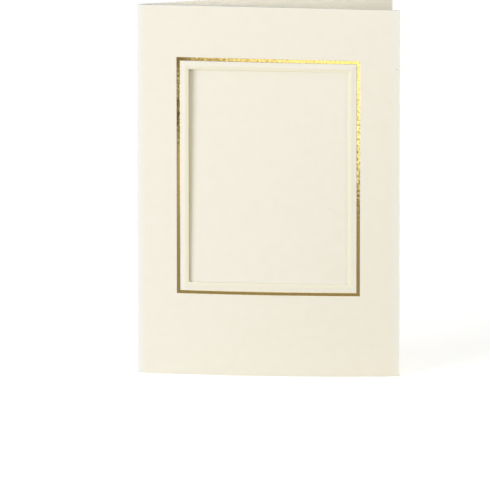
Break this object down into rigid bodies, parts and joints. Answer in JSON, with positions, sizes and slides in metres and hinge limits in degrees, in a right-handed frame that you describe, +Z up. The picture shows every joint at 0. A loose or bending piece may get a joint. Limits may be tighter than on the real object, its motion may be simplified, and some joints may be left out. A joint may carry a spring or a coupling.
{
  "type": "greeting card",
  "caption": "Upright folded card blank of ivory board with a window in an embossed border, a thin gold foil frame round it and an inner flap closing it from behind",
  "frame": {"origin": "foot of the spine, in the middle of the board's thickness, on the surface that the card stands on", "axes": "+X along the mean line of the front panel from the spine to the fore edge, +Y from the front panel to the back panel, +Z up along the spine"},
  "size_m": [0.105, 0.0389, 0.15],
  "materials": {
    "board": "uncoated ivory board, matt",
    "foil": "hot-stamped gold foil, bright and finely mottled"
  },
  "bodies": {
    "root": {"folded_card": "board", "foil_line": "foil"}
  },
  "joints": []
}
